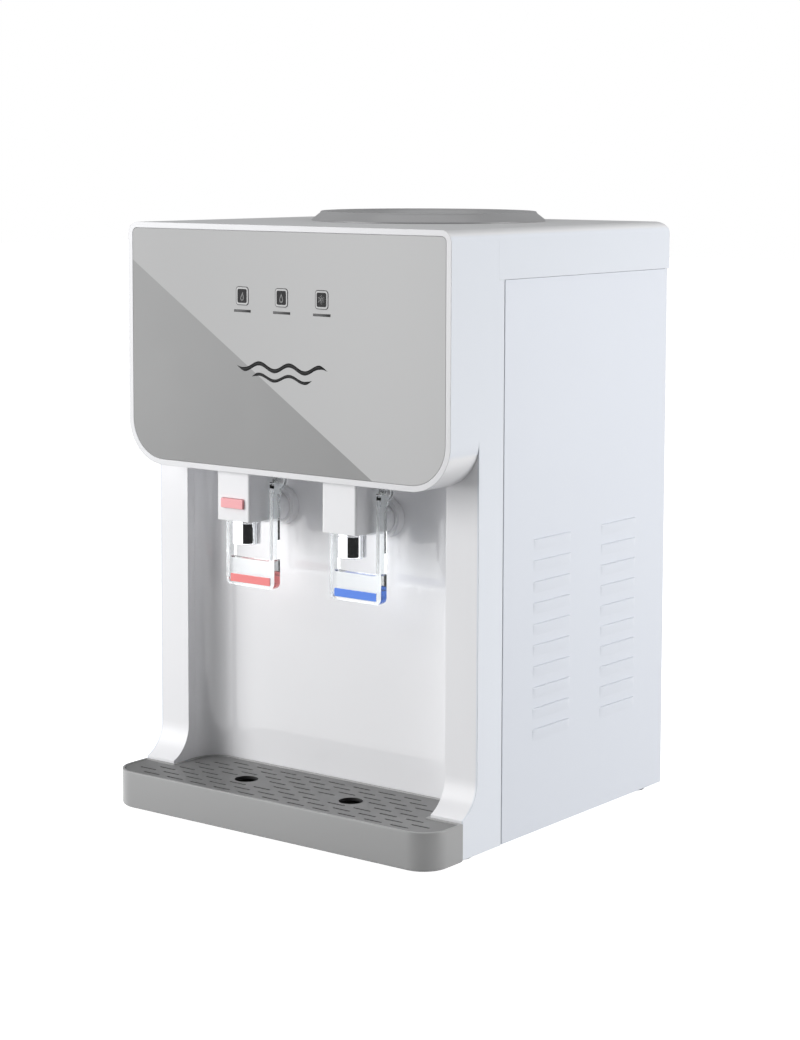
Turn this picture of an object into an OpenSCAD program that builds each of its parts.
// Countertop water dispenser with a hot and a cold tap, fed by an upturned bottle.
// The origin is on the resting surface, under the middle of the whole object.
// +Z is up, the taps face -Y, and +X is to the right of someone facing the taps.

/* [Overall size] */
// Width across the casing
body_w = 320; // [300:1:400]
// Depth of the casing, from the front of the head to the rear panel
case_d = 303; // [300:1:380]
// Height of the casing's top above the resting surface
case_h = 472; // [465:1:570]
// How far the drip tray stands out in front of the head
tray_reach = 24; // [8:1:60]

/* [Head and columns] */
// Wall of the moulded casing parts
wall = 2.5; // [2:0.1:4]
// Depth of the head in front of the columns
head_d = 36; // [32:1:60]
// Height of the head's lower edge
head_z = 278.5; // [250:0.5:300]
// Radius of the head's lower corners
head_r = 36.5; // [12:0.5:50]
// Radius of the casing's top edges
top_r = 9; // [6:0.5:12]
// Width of each column beside the taps
column_w = 29.8; // [20:0.2:40]
// Radius of the sweep at each column's foot
sweep_r = 28; // [15:1:40]
// Depth of the front casing, back to its seam
casing_d = 67.5; // [60:0.5:80]
// Depth of the niche behind the head's front
niche_d = 66; // [58:0.5:72]
// Radius of the niche's two upright corners
niche_r = 22; // [10:1:30]
// Rise of the niche's ceiling above the head's lower edge
ceiling_rise = 12; // [10:1:16]
// Width of the white rim round the front panel
rim_w = 4.5; // [3:0.5:8]
// Thickness of the front panel
front_t = 1.5; // [1:0.1:2]

/* [Covers and feet] */
// Thickness of the steel sheet
sheet = 1; // [0.6:0.1:1.5]
// Height of the top cover's skirt
skirt_h = 38.4; // [25:0.1:60]
// How far the top cover reaches behind the rear panel
cover_over = 2; // [2:0.1:5]
// How far the side panels lie inside the casing's width
side_inset = 0.8; // [0.6:0.1:2]
// Height of the rubber feet
foot_h = 3; // [2:0.5:8]
// Radius of the rubber feet
foot_r = 10; // [6:0.5:13]

/* [Bottle collar] */
// Distance of the collar's centre behind the head's front
collar_y_off = 188; // [170:1:200]
// Radius of the collar's base
collar_r = 96; // [90:1:110]
// Height of the collar above the top cover
collar_h = 8; // [7:0.5:20]
// Radius of the hole in the top cover
well_r = 80; // [75:0.5:90]
// Outer radius of the bottle probe
probe_r = 10.5; // [8:0.5:14]

/* [Drip tray] */
// Height of the tray's top
tray_h = 31; // [26:0.5:45]
// Wall of the tray
tray_wall = 2.2; // [1.6:0.1:3]
// Radius of the tray's two front corners
tray_r = 22; // [10:1:40]
// Distance of the column's base behind the head's front
base_off = 18; // [12:1:26]
// Length of a slot in the grille
slot_l = 17; // [10:1:24]
// Width of a slot in the grille
slot_w = 2; // [1.5:0.1:3]
// Spacing of the slots along a row
slot_pitch = 25; // [20:1:40]
// Spacing of the rows of slots
row_pitch = 9.5; // [7:0.5:14]
// Radius of the two round drain holes
drain_hole_r = 9.5; // [6:0.5:12]

/* [Taps] */
// Distance of each tap from the middle
tap_x = 53; // [45:1:70]
// Width of a tap's box
tap_w = 33.4; // [31:0.2:38]
// Height of a tap's lower face
tap_z = 239.5; // [225:0.5:248]
// Depth of a tap's box
tap_d = 38; // [37:0.5:42]
// Radius of the nozzle
nozzle_r = 11.5; // [10.5:0.5:13]
// Length of nozzle that shows below the tap
nozzle_l = 19.5; // [12:0.5:25]
// Radius of the flange against the niche wall
flange_r = 15.5; // [12:0.5:18]
// Travel of the child lock button
button_travel = 1.5; // [1:0.1:2]

/* [Levers] */
// Outer width of a lever
lever_w = 50; // [46:0.5:54]
// Width of each lever arm
arm_w = 4.6; // [3:0.1:5]
// Depth of each lever arm
arm_d = 7; // [5:0.5:8]
// Height of the lever's lower edge
lever_z = 184.5; // [170:0.5:195]
// Height of the paddle below the lever's window
paddle_h = 22; // [12:1:24]
// Radius of the lever pin
pin_r = 2; // [1.5:0.1:2.5]

/* [Side louvres] */
// Number of louvres in each column
louvre_rows = 10; // [2:1:12]
// Spacing of the louvres
louvre_pitch = 16.5; // [12:0.5:20]
// Length of a louvre
louvre_l = 51.5; // [30:0.5:60]
// Height of the highest louvre's upper edge
louvre_top = 232.6; // [225:0.1:400]
// How far a louvre's hood stands out
hood_out = 1.6; // [1:0.1:3]

/* [Cooling and heating] */
// Radius of the cold tank
cold_tank_r = 50; // [42:1:52]
// Radius of the hot tank
hot_tank_r = 38; // [30:1:45]
// Width of the fan
fan_w = 92; // [80:1:92]
// Height of the fan's axis
fan_z = 355; // [335:1:365]
// Bore of the cord gland's bush
gland_r = 3.6; // [3:0.1:4.5]

/* [Clearances] */
// Gap between fixed parts that only lie side by side
part_gap = 0.3; // [0.1:0.05:0.6]
// Gap round the drip tray in its bay
tray_gap = 0.5; // [0.3:0.1:1.5]
// Radial clearance of a shaft in its hole
shaft_gap = 0.05; // [0.02:0.01:0.1]
// Gap round a sliding button
button_gap = 0.25; // [0.15:0.05:0.5]

/* [Hidden] */
$fn = 64;

// Planes across the depth, from the front of the tray to the cover's rear edge
depth = tray_reach + case_d + cover_over;
tray_front = -depth / 2;
head_y = tray_front + tray_reach;
column_y = head_y + head_d;
seam_y = head_y + casing_d;
cover_y = seam_y - 7.5;
niche_y = head_y + niche_d;
base_y = head_y + base_off;
back_y = head_y + case_d;
rear_y = back_y + cover_over;

// Planes across the width
half_w = body_w / 2;
niche_half = half_w - column_w;
side_x = half_w - side_inset;

// Where the two columns of louvres start
louvre_front = head_y + 110.5;
louvre_rear = back_y - 96.5;

// Heights
skirt_z = case_h - skirt_h;
ceiling_z = head_z + ceiling_rise;
panel_top = skirt_z - part_gap;
base_t = 2;
base_top = foot_h + base_t;

// Head front: the recess for the panel and the wall behind it
front_wall = front_t + 2;

// Niche panel thickness and the plane where its rounded corners start
niche_t = 2.2;
niche_corner_y = niche_y - niche_r;

// Indicator lenses
lens_w = 12.5;
lens_h = 14.2;
lens_r = 2.5;
lens_x = 39.5;
lens_z = case_h - 55;
lens_gap = 0.1;
lens_proud = 0.3;
led_r = 2.4;

// Tap planes: box front and back, nozzle axis, pivot, water way
tap_front = head_y + front_wall + 0.5;
tap_back = tap_front + tap_d;
tap_top = ceiling_z - 0.5;
nozzle_y = tap_front + 16;
way_z = tap_z + 6;
tail_r = 8;
tail_end = niche_y + niche_t + 30;
pivot_y = tap_front + 29.5;
pivot_z = head_z - 8.5;
chamber_r = 8.2;
flange_t = 7;

// Lever planes: the arms lie a little in front of the pivot
lever_y = pivot_y - 9.5;
boss_r = 6;
window_z = lever_z + paddle_h;
lever_corner_r = 5;
strip_w = 41;
strip_h = 6.5;
strip_t = 1.2;
lever_half = lever_w / 2;

// Cam on the lever shaft, which presses the stem down
cam_reach = pivot_y - nozzle_y;
cam_r = 2;
cam_half = 3;
cam_gap = 0.3;
stem_top = pivot_z - cam_r - cam_gap;
stem_flange_r = 6.5;
stem_flange_t = 2;
spring_h = 10;
spring_r = 4.8;
wire_r = 0.45;
spring_turns = 4;
spring_z = stem_top - stem_flange_t - spring_h;
stem_r = 3;
seal_r = 7;
seal_z = spring_z - 8;

// Child lock button on the hot tap
button_w = 22.2;
button_h = 7.4;
button_z = way_z + 8;
button_proud = 2;
button_in = 4;

// Drip tray in plan
tray_half = half_w + 0.5;
tray_step = base_y - tray_gap;
tray_back = niche_y - 2 * tray_gap;
tray_neck = niche_half - tray_gap;
tray_low = 1.2;
neck_low = base_top + tray_gap;
corner_r = niche_r - tray_gap;
ledge_w = 2;
grille_t = 2.6;
grille_top = tray_h - 0.8;
grille_gap = 0.4;
slot_margin = 6;
drain_y = nozzle_y - 1;

// Inner works: one axis for the cold tank, one for the hot tank
collar_y = head_y + collar_y_off;
tank_top = case_h - 42;
tank_bottom = tank_top - 145;
tank_wall = 1;
jacket_t = 14;
shelf_z = tank_bottom - 15;
shelf_t = 1.5;
shelf_half = 80;
hot_y = collar_y - 17.5;
hot_bottom = base_top + 90;
hot_top = hot_bottom + 130;
band_h = 40;
band_t = 3;
pipe_r = 6;
hose_r = 6;
elbow_extra = 0.4;
throat_r = 30;
cold_face = collar_y + cold_tank_r;
block_w = 50;
block_y = cold_face + 10.5;
peltier_t = 4;
peltier_half = 20;
sink_y = block_y + peltier_t;
sink_w = 90;
sink_base = 5;
fin_t = 1.6;
fin_count = 14;
fan_t = 15;
fan_back = back_y - sheet - 5;
fan_front = fan_back - fan_t;
sink_back = fan_front - 1;
fan_bore_r = fan_w / 2 - 3;
blade_r = fan_bore_r - 2;
hub_r = 15;
blade_count = 7;
blade_t = 1.2;
guard_wire = 0.75;
guard_rings = 5;
spindle_r = 1.5;

// Circuit boards
board_t = 1.6;
post_h = 8;
board_half = 60;
board_rise = 16;

// Rear panel fittings
switch_x = -120;
switch_heights = [base_top + 45, base_top + 80];
rocker_w = 12;
rocker_half = 8;
rocker_tilt = 7;
rocker_y = back_y - 1.5;
gland_x = 120;
gland_z = base_top + 50;
gland_out = 1.9;
gland_in = 12;
drain_z = base_top + 35;
plug_r = 6;
plug_in = 14;
plug_head_t = 1.8;
proud = 1.5;
screw_r = 1.5;
screw_head_r = 3.2;
vent_x = 80;
vent_z = base_top + 150;
vent_l = 20;
vent_h = 4;
vent_pitch = 12;
vent_rows = 10;

// ---------- Helpers ----------

// Extrudes a profile drawn in X and Z from plane y0 back to plane y1
module along_y(y0, y1) {
    translate([0, y1, 0]) rotate([90, 0, 0]) linear_extrude(y1 - y0) children();
}

// Extrudes a profile drawn in Y and Z from plane x0 to plane x1
module along_x(x0, x1) {
    translate([x0, 0, 0]) rotate([90, 0, 90]) linear_extrude(x1 - x0) children();
}

// A box given by its lowest and highest corners
module block(low, high) {
    translate(low) cube(high - low);
}

// A cylinder along Y
module rod_y(x, z, r, y0, y1) {
    translate([x, y1, z]) rotate([90, 0, 0]) cylinder(h = y1 - y0, r = r);
}

// A cylinder along X
module rod_x(y, z, r, x0, x1) {
    translate([x0, y, z]) rotate([0, 90, 0]) cylinder(h = x1 - x0, r = r);
}

// A rectangle whose lower corners have radius rb and whose upper ones have radius rt
module soft_rect(x0, z0, x1, z1, rb, rt) {
    translate([x0, z0 + rb]) square([x1 - x0, z1 - z0 - rb - rt]);
    translate([x0 + rb, z0]) square([x1 - x0 - 2 * rb, rb]);
    translate([x0 + rt, z1 - rt]) square([x1 - x0 - 2 * rt, rt]);
    for (x = [x0 + rb, x1 - rb]) translate([x, z0 + rb]) circle(rb);
    for (x = [x0 + rt, x1 - rt]) translate([x, z1 - rt]) circle(rt);
}

// The head seen from the front, set in by a margin
module head_outline(inset) {
    soft_rect(-half_w + inset, head_z + inset, half_w - inset, case_h - inset,
              head_r - inset, max(top_r - inset, 1));
}

// Outline of everything behind the head: square below, rounded at the top edges
module case_outline(inset, z0) {
    r = top_r - inset;
    translate([-half_w + inset, z0]) square([body_w - 2 * inset, case_h - inset - r - z0]);
    translate([-half_w + inset + r, z0]) square([body_w - 2 * inset - 2 * r, case_h - inset - z0]);
    for (s = [-1, 1]) translate([s * (half_w - top_r), case_h - top_r]) circle(r);
}

// A pipe through a list of points, with a slightly thicker ball at each bend
module pipe(points, r) {
    for (i = [0 : len(points) - 2]) {
        a = points[i];
        b = points[i + 1];
        run = b - a;
        reach = norm(run);
        translate(a)
            rotate([0, acos(run[2] / reach), atan2(run[1], run[0])])
                cylinder(h = reach, r = r);
    }
    for (i = [1 : len(points) - 2]) translate(points[i]) sphere(r + elbow_extra);
}

// A round wire spring standing on plane z0
module coil(r, wire, z0, z1, turns) {
    steps = 16 * turns;
    sides = 8;
    points = [
        for (i = [0 : steps], j = [0 : sides - 1])
            let (turn = 360 * turns * i / steps, side = 360 * j / sides)
            let (reach = r + wire * cos(side), rise = (z1 - z0 - 2 * wire) * i / steps)
            [reach * cos(turn), reach * sin(turn), z0 + wire + rise + wire * sin(side)]
    ];
    skin = [
        for (i = [0 : steps - 1], j = [0 : sides - 1])
            let (k = (j + 1) % sides)
            [i * sides + j, i * sides + k, (i + 1) * sides + k, (i + 1) * sides + j]
    ];
    start = [for (j = [sides - 1 : -1 : 0]) j];
    end = [for (j = [0 : sides - 1]) steps * sides + j];
    polyhedron(points, concat(skin, [start, end]), convexity = 10);
}

// ---------- Front of the casing ----------

// Side view of a column with its swept foot, set in by a margin
module column_profile(inset, y_end, z_end) {
    face = column_y + inset;
    translate([face, foot_h + inset]) square([y_end - face, z_end - foot_h - inset]);
    difference() {
        translate([base_y + inset, foot_h + inset])
            square([face - base_y, tray_h + sweep_r - foot_h - inset]);
        translate([column_y - sweep_r, tray_h + sweep_r]) circle(sweep_r + inset);
    }
}

module column(side) {
    x0 = side < 0 ? -half_w : niche_half;
    along_x(x0, x0 + column_w) column_profile(0, seam_y, ceiling_z + wall);
}

module casing_hollow() {
    difference() {
        union() {
            along_y(head_y + front_wall, seam_y + 1) head_outline(wall);
            for (x = [-half_w + wall, niche_half + wall])
                along_x(x, x + column_w - 2 * wall)
                    column_profile(wall, seam_y + 1, head_z + head_r + wall + 20);
        }
        block([-niche_half - wall, head_y, 0],
              [niche_half + wall, seam_y + 2, ceiling_z + wall]);
    }
}

module front_casing() color("white") difference() {
    union() {
        along_y(head_y, column_y) head_outline(0);
        along_y(column_y, seam_y) case_outline(0, ceiling_z);
        column(-1);
        column(1);
    }
    casing_hollow();
    // The niche, which widens by the niche panel's thickness behind its corners
    block([-niche_half, head_y + front_wall, -1], [niche_half, seam_y + 1, ceiling_z]);
    block([-niche_half - wall, niche_corner_y, -1],
          [niche_half + wall, seam_y + 1, ceiling_z]);
    // The top cover takes over here
    block([-body_w, cover_y, skirt_z], [body_w, seam_y + 1, case_h + 1]);
    // The seat of the front panel and the light holes behind the lenses
    along_y(head_y - 1, head_y + front_t) head_outline(rim_w);
    for (i = [-1 : 1])
        rod_y(i * lens_x, lens_z, led_r + part_gap, head_y, head_y + front_wall + 1);
}

module lens_outline(gap) {
    soft_rect(-lens_w / 2 - gap, -lens_h / 2 - gap, lens_w / 2 + gap, lens_h / 2 + gap,
              lens_r, lens_r);
}

module front_panel() color("lightgrey") difference() {
    along_y(head_y, head_y + front_t) head_outline(rim_w + part_gap);
    for (i = [-1 : 1]) translate([i * lens_x, 0, lens_z])
        along_y(head_y - 1, head_y + front_t + 1) lens_outline(lens_gap);
}

module lens(i) {
    color("black") translate([i * lens_x, 0, lens_z])
        along_y(head_y - lens_proud, head_y + front_t) lens_outline(0);
}

// Circuit board behind the head's front wall, with one lamp behind each lens
module control_board() {
    board_y = head_y + front_wall + 4;
    color("green") {
        block([-board_half, board_y, lens_z - board_rise],
              [board_half, board_y + board_t, lens_z + board_rise]);
        for (i = [-1 : 1]) rod_y(i * lens_x, lens_z, led_r, head_y + front_t + 0.5, board_y);
        for (x = [10 - board_half, board_half - 22])
            block([x, board_y + board_t, lens_z - 10], [x + 12, board_y + 9, lens_z - 2]);
    }
}

// A U in plan, open towards the front, with round rear corners
module niche_plan(half, y_back, r) {
    y0 = niche_corner_y - 1;
    translate([-half, y0]) square([2 * half, y_back - r - y0]);
    translate([-half + r, y0]) square([2 * (half - r), y_back - y0]);
    for (x = [-half + r, half - r]) translate([x, y_back - r]) circle(r);
}

// Glossy splash wall behind the taps
module niche_panel() color("whitesmoke") difference() {
    translate([0, 0, base_top + 0.2]) linear_extrude(ceiling_z - base_top - 0.4) difference() {
        niche_plan(niche_half + niche_t, niche_y + niche_t, niche_r + niche_t);
        niche_plan(niche_half, niche_y, niche_r);
        translate([-half_w, niche_corner_y - niche_r - niche_t]) square([body_w, niche_r + niche_t]);
    }
    for (s = [-1, 1])
        rod_y(s * tap_x, way_z, tail_r + part_gap, niche_y - 1, niche_y + niche_t + 1);
}

// ---------- Covers, base and feet ----------

module cover_solid(inset) intersection() {
    along_y(cover_y, rear_y - inset) case_outline(inset, skirt_z - (inset > 0 ? 1 : 0));
    along_x(-half_w, half_w) {
        r = top_r - inset;
        translate([cover_y - 1, skirt_z - 1]) square([rear_y - inset - cover_y + 1, case_h - top_r - skirt_z + 1]);
        translate([cover_y - 1, skirt_z - 1]) square([rear_y - top_r - cover_y + 1, case_h - inset - skirt_z + 1]);
        translate([rear_y - top_r, case_h - top_r]) circle(r);
    }
}

module top_cover() color("white") difference() {
    cover_solid(0);
    cover_solid(wall);
    translate([0, collar_y, skirt_z]) cylinder(h = skirt_h + 1, r = well_r);
    // The front casing reaches back this far below the cover's front strip
    block([-half_w - 1, cover_y - 1, skirt_z - 1], [half_w + 1, cover_y, case_h + 1]);
}

// Seat ring with a funnel that leads down into the cold tank
module bottle_collar() color("darkgrey") translate([0, collar_y, case_h]) rotate_extrude() {
    lip_r = collar_r - 8;
    sleeve_r = well_r - part_gap;
    polygon([
        [collar_r, 0], [collar_r, 1.5], [lip_r + 1.5, collar_h - 1.6], [lip_r, collar_h],
        [lip_r - 3.5, collar_h], [sleeve_r + 1.3, collar_h - 4], [sleeve_r - 3.2, -4.5],
        [throat_r, -23.5], [throat_r, -36], [throat_r + 3, -36], [throat_r + 3, -25.5],
        [sleeve_r - 0.7, -6.7], [sleeve_r, -5], [sleeve_r, 0]
    ]);
}

// Hollow spike that opens the bottle's cap
module bottle_probe() color("white") translate([0, collar_y, case_h]) difference() {
    union() {
        translate([0, 0, -36]) cylinder(h = 3, r = throat_r);
        translate([0, 0, -33]) cylinder(h = 31, r = probe_r);
        translate([0, 0, -2]) cylinder(h = 4, r1 = probe_r, r2 = probe_r - 5);
    }
    translate([0, 0, -37]) cylinder(h = 33, r = probe_r - 2.5);
    for (a = [0 : 60 : 359]) rotate([0, 0, a]) translate([probe_r + 8, 0, -37]) cylinder(h = 5, r = 4);
}

// Section of one pressed hood, standing out from the sheet, open along its upper edge
module hood_section() {
    hood_r = 7;
    sink = hood_r - hood_out;
    intersection() {
        translate([side_x - sink, 0]) difference() {
            circle(hood_r);
            circle(hood_r - sheet);
        }
        translate([side_x - sheet, -hood_r]) square([hood_out + sheet + 1, hood_r + 3]);
    }
}

module louvre_spots() {
    for (y = [louvre_front, louvre_rear], i = [0 : louvre_rows - 1])
        translate([0, y, louvre_top - 3 - i * louvre_pitch]) children();
}

module side_panel() {
    difference() {
        union() {
            block([side_x - sheet, seam_y + part_gap, foot_h], [side_x, back_y, panel_top]);
            for (y = [seam_y + part_gap, back_y - 2 * sheet - 0.2])
                block([side_x - 11, y, base_top + 1], [side_x, y + sheet, panel_top]);
        }
        louvre_spots() block([side_x - 2 * sheet, 1, -3.4], [side_x + 1, louvre_l - 1, 3.2]);
        screw_spots() rod_y(0, 0, screw_r + part_gap, back_y - 5, back_y + 1);
    }
    louvre_spots() along_y(0, louvre_l) hood_section();
}

module left_side_panel() color("aliceblue") mirror([1, 0, 0]) side_panel();
module right_side_panel() color("aliceblue") side_panel();

module screw_spots() {
    for (s = [-1, 1], z = [base_top + 20, (base_top + panel_top) / 2, panel_top - 20])
        translate([s * (half_w - 9), 0, z]) children();
}

module rear_panel() color("lightgrey") difference() {
    block([-side_x + sheet + 0.1, back_y - sheet, foot_h],
          [side_x - sheet - 0.1, back_y, panel_top]);
    rod_y(0, fan_z, fan_bore_r, back_y - 5, back_y + 5);
    for (z = switch_heights)
        block([switch_x - rocker_w / 2 - 1.6, back_y - 5, z - rocker_half - 2.4],
              [switch_x + rocker_w / 2 + 1.6, back_y + 5, z + rocker_half + 2.4]);
    rod_y(gland_x, gland_z, gland_r + 4, back_y - 5, back_y + 5);
    rod_y(0, drain_z, plug_r + 2.2, back_y - 5, back_y + 5);
    screw_spots() rod_y(0, 0, screw_r + part_gap, back_y - 5, back_y + 5);
    // Vent slots beside the tanks
    for (x = [-vent_x, vent_x], i = [0 : vent_rows - 1])
        translate([x, back_y, vent_z + i * vent_pitch])
            block([-vent_l / 2, -5, 0], [vent_l / 2, 5, vent_h]);
}

module base_plate() color("silver") {
    block([-niche_half + 0.3, base_y + 3, foot_h], [niche_half - 0.3, seam_y + 1, base_top]);
    block([-side_x + sheet + 0.1, seam_y + 1, foot_h],
          [side_x - sheet - 0.1, back_y - sheet - 0.1, base_top]);
}

module feet() color("dimgrey") {
    for (s = [-1, 1], y = [base_y + foot_r + 5, back_y - foot_r - 12])
        translate([s * (half_w - foot_r - 5), y, 0]) cylinder(h = foot_h, r = foot_r);
}

// ---------- Drip tray ----------

// The tray in plan, set in by a margin: wide in front, narrow between the columns
module tray_plan(inset) {
    front_half = tray_half - inset;
    y0 = tray_front + inset;
    r = tray_r - inset;
    neck = tray_neck - inset;
    y1 = tray_back - inset;
    rear_r = corner_r - inset;
    translate([-front_half, y0 + r]) square([2 * front_half, tray_step - inset - y0 - r]);
    translate([-front_half + r, y0]) square([2 * (front_half - r), r]);
    intersection() {
        for (s = [-1, 1]) translate([s * (front_half - r), y0 + r]) circle(r);
        translate([-front_half, y0]) square([2 * front_half, r + 1]);
    }
    translate([-neck, y0 + r]) square([2 * neck, y1 - rear_r - y0 - r]);
    translate([-neck + rear_r, y0 + r]) square([2 * (neck - rear_r), y1 - y0 - r]);
    for (s = [-1, 1]) translate([s * (neck - rear_r), y1 - rear_r]) circle(rear_r);
}

module drip_tray() color("grey") difference() {
    translate([0, 0, tray_low]) linear_extrude(tray_h - tray_low) tray_plan(0);
    // The neck rides above the base plate
    block([-half_w, tray_step, 0], [half_w, niche_y, neck_low]);
    // The basin, the ledge and the seat of the grille
    difference() {
        translate([0, 0, tray_low + tray_wall]) linear_extrude(tray_h) tray_plan(tray_wall + ledge_w);
        block([-half_w, tray_step - tray_wall, 0], [half_w, niche_y, neck_low + tray_wall]);
    }
    translate([0, 0, grille_top - grille_t]) linear_extrude(tray_h) tray_plan(tray_wall);
}

// Half the width of the tray's plan at depth y
function plan_half(y) =
    y < tray_front + tray_r
        ? tray_half - tray_r + sqrt(tray_r * tray_r - pow(tray_front + tray_r - y, 2))
    : y < tray_step ? tray_half
    : y > tray_back - corner_r
        ? tray_neck - corner_r + sqrt(corner_r * corner_r - pow(y - tray_back + corner_r, 2))
    : tray_neck;

module slot() {
    translate([-(slot_l - slot_w) / 2, -slot_w / 2]) square([slot_l - slot_w, slot_w]);
    for (s = [-1, 1]) translate([s * (slot_l - slot_w) / 2, 0]) circle(slot_w / 2, $fn = 24);
}

module drip_grille() color("dimgrey") difference() {
    translate([0, 0, grille_top - grille_t + 0.1]) linear_extrude(grille_t - 0.1) difference() {
        tray_plan(tray_wall + grille_gap);
        for (s = [-1, 1]) translate([s * tap_x, drain_y]) circle(drain_hole_r);
        first = tray_front + slot_margin + slot_w + 2;
        rows = floor((tray_back - slot_margin - first) / row_pitch);
        columns = floor(tray_half / slot_pitch) + 1;
        for (row = [0 : rows], k = [-columns : columns]) {
            x = (k + (row % 2) / 2) * slot_pitch;
            y = first + row * row_pitch;
            half = min(plan_half(y - slot_w), plan_half(y + slot_w)) - slot_margin;
            near = abs(y - drain_y) < drain_hole_r + 3
                && abs(abs(x) - tap_x) < drain_hole_r + slot_l / 2 + 2;
            if (abs(x) + slot_l / 2 < half && !near) translate([x, y]) slot();
        }
    }
}

// ---------- Taps ----------

module tap_body() difference() {
    union() {
        translate([0, 0, tap_z]) linear_extrude(tap_top - tap_z) translate([-tap_w / 2, 0]) {
            edge = 2;
            translate([0, tap_front + edge]) square([tap_w, tap_d - edge]);
            translate([edge, tap_front]) square([tap_w - 2 * edge, edge]);
            for (x = [edge, tap_w - edge]) translate([x, tap_front + edge]) circle(edge);
        }
        rod_y(0, way_z, flange_r - 4, tap_back - 1, niche_y - flange_t);
        rod_y(0, way_z, flange_r, niche_y - flange_t - 0.1, niche_y - 0.1);
        rod_y(0, way_z, tail_r, niche_y - 1, tail_end);
    }
    // Valve chamber, cam slot, water way, nozzle socket and pin hole
    translate([0, nozzle_y, tap_z + 3]) cylinder(h = stem_top + 1 - tap_z - 3, r = chamber_r);
    block([-cam_half - 1, nozzle_y - 4, stem_top - 5],
          [cam_half + 1, pivot_y + cam_r + 3, pivot_z + 6]);
    rod_y(0, way_z, 4, nozzle_y, tail_end + 1);
    translate([0, nozzle_y, tap_z - 1]) cylinder(h = 5, r = nozzle_r - 4);
    rod_x(pivot_y, pivot_z, pin_r + shaft_gap, -tap_w, tap_w);
}

module hot_tap_body() color("white") difference() {
    translate([-tap_x, 0, 0]) tap_body();
    translate([-tap_x, 0, button_z])
        block([-button_w / 2 - button_gap, tap_front - 1, -button_h / 2 - button_gap],
              [button_w / 2 + button_gap, tap_front + button_in + button_travel + 0.5,
               button_h / 2 + button_gap]);
}

module cold_tap_body() color("white") translate([tap_x, 0, 0]) tap_body();

module nozzle() color("silver") translate([0, nozzle_y, tap_z - nozzle_l]) difference() {
    union() {
        cylinder(h = nozzle_l, r = nozzle_r);
        cylinder(h = nozzle_l + 2.9, r = nozzle_r - 4);
    }
    translate([0, 0, -1]) cylinder(h = nozzle_l - 3, r = nozzle_r - 2);
    cylinder(h = nozzle_l + 4, r = 4.5);
}

module hot_nozzle() translate([-tap_x, 0, 0]) nozzle();
module cold_nozzle() translate([tap_x, 0, 0]) nozzle();

// Hexagon nuts that clamp the taps to the niche wall
module tap_nuts() color("white") for (s = [-1, 1]) difference() {
    translate([s * tap_x, niche_y + niche_t + 9, way_z]) rotate([90, 0, 0])
        cylinder(h = 8.8, r = tail_r + 5, $fn = 6);
    rod_y(s * tap_x, way_z, tail_r, niche_y, niche_y + 20);
}

// Plunger with its seal: the cam pushes it down and the spring lifts it
module stem() color("ivory") translate([0, nozzle_y, 0]) {
    translate([0, 0, seal_z]) cylinder(h = stem_top - seal_z, r = stem_r);
    translate([0, 0, stem_top - stem_flange_t]) cylinder(h = stem_flange_t, r = stem_flange_r);
    translate([0, 0, seal_z]) cylinder(h = 3, r = seal_r);
}

module hot_stem() translate([-tap_x, 0, 0]) stem();
module cold_stem() translate([tap_x, 0, 0]) stem();

module stem_spring() color("silver") translate([0, nozzle_y, 0])
    coil(spring_r, wire_r, spring_z, stem_top - stem_flange_t, spring_turns);

module hot_stem_spring() translate([-tap_x, 0, 0]) stem_spring();
module cold_stem_spring() translate([tap_x, 0, 0]) stem_spring();

// ---------- Levers ----------

// Clear frame: two arms that hang beside the tap and a paddle that joins them
module lever() color([0.9, 0.95, 1, 0.5]) difference() {
    union() {
        along_y(lever_y, lever_y + arm_d) difference() {
            soft_rect(-lever_half, lever_z, lever_half, pivot_z, lever_corner_r, 1);
            soft_rect(-lever_half + arm_w, window_z, lever_half - arm_w, pivot_z + 10, 2, 1);
        }
        for (x = [-lever_half, lever_half - arm_w]) {
            rod_x(pivot_y, pivot_z, boss_r, x, x + arm_w);
            block([x, lever_y, pivot_z - boss_r - 4], [x + arm_w, pivot_y, pivot_z]);
        }
    }
    rod_x(pivot_y, pivot_z, pin_r, -lever_w, lever_w);
    strip_seat(0);
}

// Colour strip let into the paddle's front
module strip_seat(back) {
    along_y(lever_y - 1 + back, lever_y + strip_t)
        soft_rect(-strip_w / 2, lever_z + 2.5, strip_w / 2, lever_z + 2.5 + strip_h, 0.8, 0.8);
}

module hot_lever() translate([-tap_x, 0, 0]) lever();
module cold_lever() translate([tap_x, 0, 0]) lever();
module hot_lever_strip() color("tomato") translate([-tap_x, 0, 0]) strip_seat(1);
module cold_lever_strip() color("royalblue") translate([tap_x, 0, 0]) strip_seat(1);

module lever_shaft() color("silver") {
    rod_x(pivot_y, pivot_z, pin_r, -lever_half, lever_half);
    rod_x(pivot_y - cam_reach, pivot_z, cam_r, -cam_half, cam_half);
    block([-cam_half, pivot_y - cam_reach, pivot_z - 1.5], [cam_half, pivot_y, pivot_z + 1.5]);
}

module hot_lever_shaft() translate([-tap_x, 0, 0]) lever_shaft();
module cold_lever_shaft() translate([tap_x, 0, 0]) lever_shaft();

module child_lock_button() color("red") translate([-tap_x, 0, button_z])
    along_y(tap_front - button_proud, tap_front + button_in)
        soft_rect(-button_w / 2, -button_h / 2, button_w / 2, button_h / 2, 0.8, 0.8);

// ---------- Inner works ----------

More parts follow.
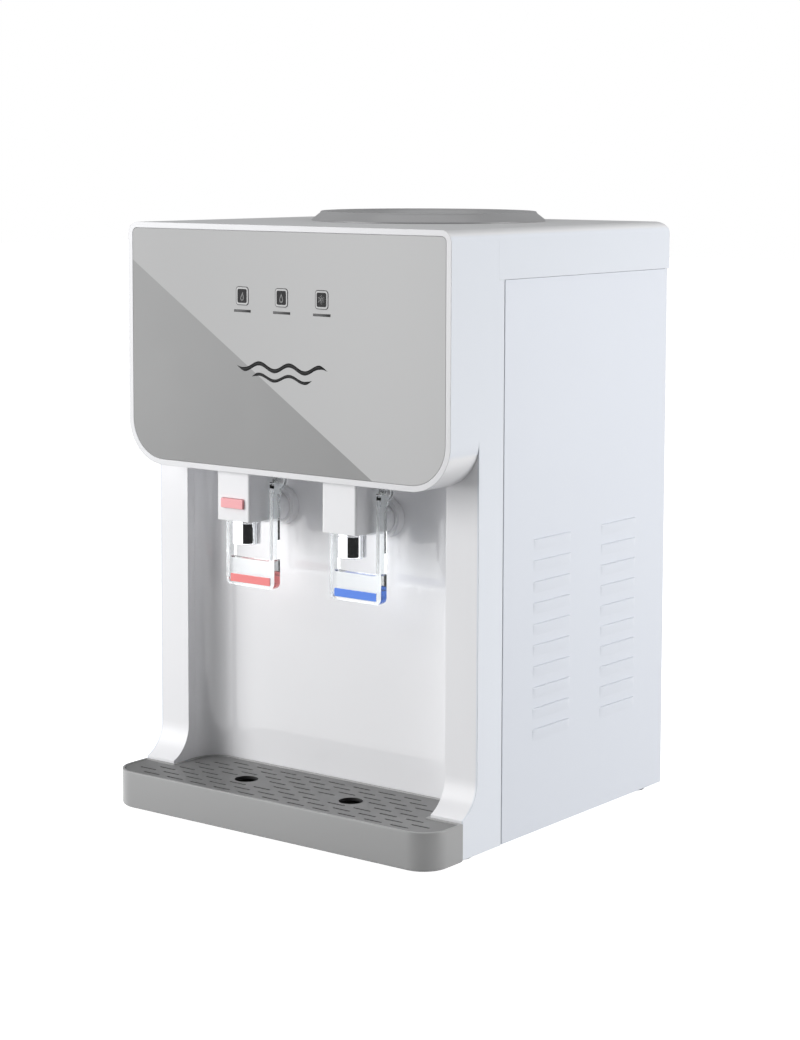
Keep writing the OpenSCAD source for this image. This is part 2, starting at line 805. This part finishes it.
module cold_tank() color("silver") translate([0, collar_y, 0]) difference() {
    union() {
        translate([0, 0, tank_bottom]) cylinder(h = tank_top - tank_bottom, r = cold_tank_r);
        translate([0, 0, tank_top - 1]) cylinder(h = 11, r = throat_r + 5);
    }
    translate([0, 0, tank_bottom + tank_wall])
        cylinder(h = tank_top - tank_bottom - 2 * tank_wall, r = cold_tank_r - tank_wall);
    translate([0, 0, tank_top - 5]) cylinder(h = 20, r = throat_r + 3 + part_gap);
}

// Where the pipes pass through the shelf and the bottom of the jacket
feed_at = [0, collar_y - 8];
outlet_at = [30, collar_y - 27];

module pipe_holes(z0, z1) {
    for (p = [feed_at, outlet_at])
        translate([p[0], p[1], z0]) cylinder(h = z1 - z0, r = pipe_r + 1);
}

// Foam shell round the cold tank
module cold_jacket() color("black") difference() {
    translate([0, collar_y, tank_bottom - 12]) cylinder(h = tank_top - tank_bottom + 6, r = cold_tank_r + jacket_t);
    translate([0, collar_y, tank_bottom]) cylinder(h = 200, r = cold_tank_r);
    block([-block_w / 2 - 1, collar_y, fan_z - block_w / 2 - 1],
          [block_w / 2 + 1, block_y + 9, fan_z + block_w / 2 + 1]);
    pipe_holes(tank_bottom - 20, tank_bottom + 1);
}

module hot_tank() color("silver") translate([0, hot_y, 0]) difference() {
    translate([0, 0, hot_bottom]) cylinder(h = hot_top - hot_bottom, r = hot_tank_r);
    translate([0, 0, hot_bottom + tank_wall])
        cylinder(h = hot_top - hot_bottom - 2 * tank_wall, r = hot_tank_r - tank_wall);
}

module band_heater() color("brown") translate([0, hot_y, hot_bottom + 20]) difference() {
    cylinder(h = band_h, r = hot_tank_r + band_t);
    translate([0, 0, -1]) cylinder(h = band_h + 2, r = hot_tank_r);
}

module thermostat() color("black") translate([18, hot_y + 12, hot_top]) {
    cylinder(h = 6, r = 9);
    for (x = [-4, 4]) block([x - 0.5, -3, 6], [x + 0.5, 3, 12]);
}

module cold_block() color("silver") difference() {
    block([-block_w / 2, collar_y, fan_z - block_w / 2], [block_w / 2, block_y, fan_z + block_w / 2]);
    translate([0, collar_y, fan_z - block_w]) cylinder(h = 2 * block_w, r = cold_tank_r);
    block([-block_w, collar_y - 1, fan_z - block_w], [block_w, collar_y + 20, fan_z + block_w]);
}

module peltier_module() color("white")
    block([-peltier_half, block_y, fan_z - peltier_half],
          [peltier_half, block_y + peltier_t, fan_z + peltier_half]);

module heat_sink() color("silver") {
    block([-sink_w / 2, sink_y, fan_z - sink_w / 2],
          [sink_w / 2, sink_y + sink_base, fan_z + sink_w / 2]);
    for (i = [0 : fin_count - 1]) {
        x = -sink_w / 2 + i * (sink_w - fin_t) / (fin_count - 1);
        block([x, sink_y + sink_base - 1, fan_z - sink_w / 2], [x + fin_t, sink_back, fan_z + sink_w / 2]);
    }
}

module fan_frame() color("dimgrey") difference() {
    union() {
        along_y(fan_front, fan_back) difference() {
            translate([-fan_w / 2, fan_z - fan_w / 2]) square(fan_w);
            translate([0, fan_z]) circle(fan_bore_r);
        }
        rod_y(0, fan_z, hub_r - 1, fan_back - 2.3, fan_back - 0.3);
        for (a = [0 : 120 : 359]) translate([0, fan_back, fan_z]) rotate([0, a, 0])
            block([hub_r - 3, -2.1, -1.5], [fan_bore_r + 1, -0.5, 1.5]);
    }
    rod_y(0, fan_z, spindle_r + shaft_gap, fan_back - 3, fan_back + 1);
}

module fan_rotor() color("grey") {
    difference() {
        rod_y(0, fan_z, hub_r, fan_front + 1.5, fan_back - 3);
        rod_y(0, fan_z, hub_r - 2, fan_front + 3, fan_back - 2);
    }
    rod_y(0, fan_z, spindle_r, fan_front + 2, fan_back - 0.5);
    for (i = [0 : blade_count - 1])
        translate([0, (fan_front + fan_back) / 2 - 0.8, fan_z]) rotate([0, i * 360 / blade_count, 0])
            rotate([35, 0, 0]) block([hub_r - 1, -blade_t / 2, -7], [blade_r, blade_t / 2, 7]);
}

// Wire guard outside the rear panel: rings on four thinner spokes
module fan_guard() color("silver") translate([0, back_y + guard_wire + 0.1, fan_z]) {
    ring_step = (fan_bore_r + 2) / guard_rings;
    for (i = [1 : guard_rings]) rotate([90, 0, 0])
        rotate_extrude() translate([i * ring_step, 0]) circle(guard_wire, $fn = 16);
    for (a = [45 : 90 : 359]) rotate([0, a, 0]) translate([ring_step, 0, 0]) rotate([0, 90, 0])
        cylinder(h = (guard_rings - 1) * ring_step, r = guard_wire * 0.8, $fn = 16);
}

// Power circuit board on four posts, with its transformer and two capacitors
module power_board() color("green") {
    x0 = shelf_half + 6;
    x1 = side_x - 12;
    y0 = collar_y + 20;
    y1 = y0 + 70;
    top = base_top + post_h + board_t;
    for (x = [x0 + 6, x1 - 6], y = [y0 + 6, y1 - 6])
        translate([x, y, base_top]) cylinder(h = post_h, r = 3);
    block([x0, y0, base_top + post_h], [x1, y1, top]);
    block([x0 + 4, y0 + 26, top], [x0 + 34, y0 + 56, top + 24]);
    for (y = [y0 + 14, y0 + 30]) translate([x1 - 12, y, top]) cylinder(h = 20, r = 6);
}

// Rocker of a rear switch, tilted to its off position, on its own trunnions
module rocker(z) color("black") translate([switch_x, rocker_y, z]) rotate([-rocker_tilt, 0, 0]) {
    block([-rocker_w / 2, -5, -rocker_half], [rocker_w / 2, 2.2, rocker_half]);
    rod_x(0, 0, 1, -rocker_w / 2 - 1, rocker_w / 2 + 1);
}

module heating_switch() rocker(switch_heights[0]);
module cooling_switch() rocker(switch_heights[1]);

module switch_housings() color("dimgrey") for (z = switch_heights) difference() {
    side = rocker_w / 2 + 0.3;
    rise = rocker_half + 1;
    union() {
        block([switch_x - side - 1.2, rocker_y - 16, z - rise - 1.2],
              [switch_x + side + 1.2, back_y, z + rise + 1.2]);
        block([switch_x - side - 2.5, back_y, z - rise - 2.5],
              [switch_x + side + 2.5, back_y + 1, z + rise + 2.5]);
    }
    block([switch_x - side, rocker_y - 9, z - rise], [switch_x + side, back_y + 2, z + rise]);
    translate([switch_x, rocker_y, z]) rotate([-rocker_tilt, 0, 0])
        rod_x(0, 0, 1 + shaft_gap, -side - 0.9, side + 0.9);
}

// Bush that a mains cord passes through
module cord_gland() color("dimgrey") difference() {
    union() {
        rod_y(gland_x, gland_z, gland_r + 3.9, back_y - gland_in, back_y + 0.1);
        rod_y(gland_x, gland_z, gland_r + 6, back_y, back_y + gland_out);
    }
    rod_y(gland_x, gland_z, gland_r, back_y - gland_in - 1, back_y + gland_out + 1);
}

module drain_pipe() color("white") difference() {
    union() {
        pipe([[0, hot_y, hot_bottom], [0, hot_y, drain_z], [0, back_y - 0.2, drain_z]], plug_r + 2);
    }
    rod_y(0, drain_z, plug_r + shaft_gap, back_y - 16, back_y + 1);
}

module drain_plug() color("red") {
    rod_y(0, drain_z, plug_r, back_y - plug_in, back_y + 1);
    rod_y(0, drain_z, plug_r + 5, back_y, back_y + plug_head_t);
}

module feed_pipe() color("white") translate([feed_at[0], feed_at[1], hot_top])
    cylinder(h = tank_bottom - hot_top, r = pipe_r);

module hot_hose() color("ghostwhite")
    pipe([[-20, hot_y, hot_top], [-20, hot_y, way_z], [-tap_x, hot_y - 30, way_z],
          [-tap_x, tail_end, way_z]], hose_r);

module cold_hose() color("ghostwhite")
    pipe([[outlet_at[0], outlet_at[1], tank_bottom], [outlet_at[0], outlet_at[1], way_z],
          [tap_x, outlet_at[1] - 20, way_z], [tap_x, tail_end, way_z]], hose_r);

// Bent steel frame that carries both tanks
module tank_shelf() color("silver") difference() {
    union() {
        for (x = [-shelf_half, shelf_half - shelf_t])
            block([x, collar_y - 47, base_top], [x + shelf_t, collar_y + 43, shelf_z + shelf_t]);
        for (z = [shelf_z, hot_bottom - shelf_t])
            block([-shelf_half, collar_y - 47, z], [shelf_half, collar_y + 43, z + shelf_t]);
    }
    pipe_holes(shelf_z - 1, shelf_z + 3);
    translate([0, hot_y, hot_bottom - 5]) cylinder(h = 10, r = plug_r + 3);
}

module rear_screws() color("silver") screw_spots() {
    rod_y(0, 0, screw_head_r, back_y, back_y + proud);
    rod_y(0, 0, screw_r, back_y - 8, back_y + 0.1);
}

front_casing();
front_panel();
lens(-1);  // heating_lens
lens(0);  // power_lens
lens(1);  // cooling_lens
control_board();
niche_panel();
top_cover();
bottle_collar();
bottle_probe();
left_side_panel();
right_side_panel();
rear_panel();
base_plate();
feet();
drip_tray();
drip_grille();
hot_tap_body();
cold_tap_body();
hot_nozzle();
cold_nozzle();
tap_nuts();
hot_stem();
cold_stem();
hot_stem_spring();
cold_stem_spring();
hot_lever();
cold_lever();
hot_lever_strip();
cold_lever_strip();
hot_lever_shaft();
cold_lever_shaft();
child_lock_button();
cold_tank();
cold_jacket();
hot_tank();
band_heater();
thermostat();
cold_block();
peltier_module();
heat_sink();
fan_frame();
fan_rotor();
fan_guard();
power_board();
heating_switch();
cooling_switch();
switch_housings();
cord_gland();
drain_pipe();
drain_plug();
feed_pipe();
hot_hose();
cold_hose();
tank_shelf();
rear_screws();
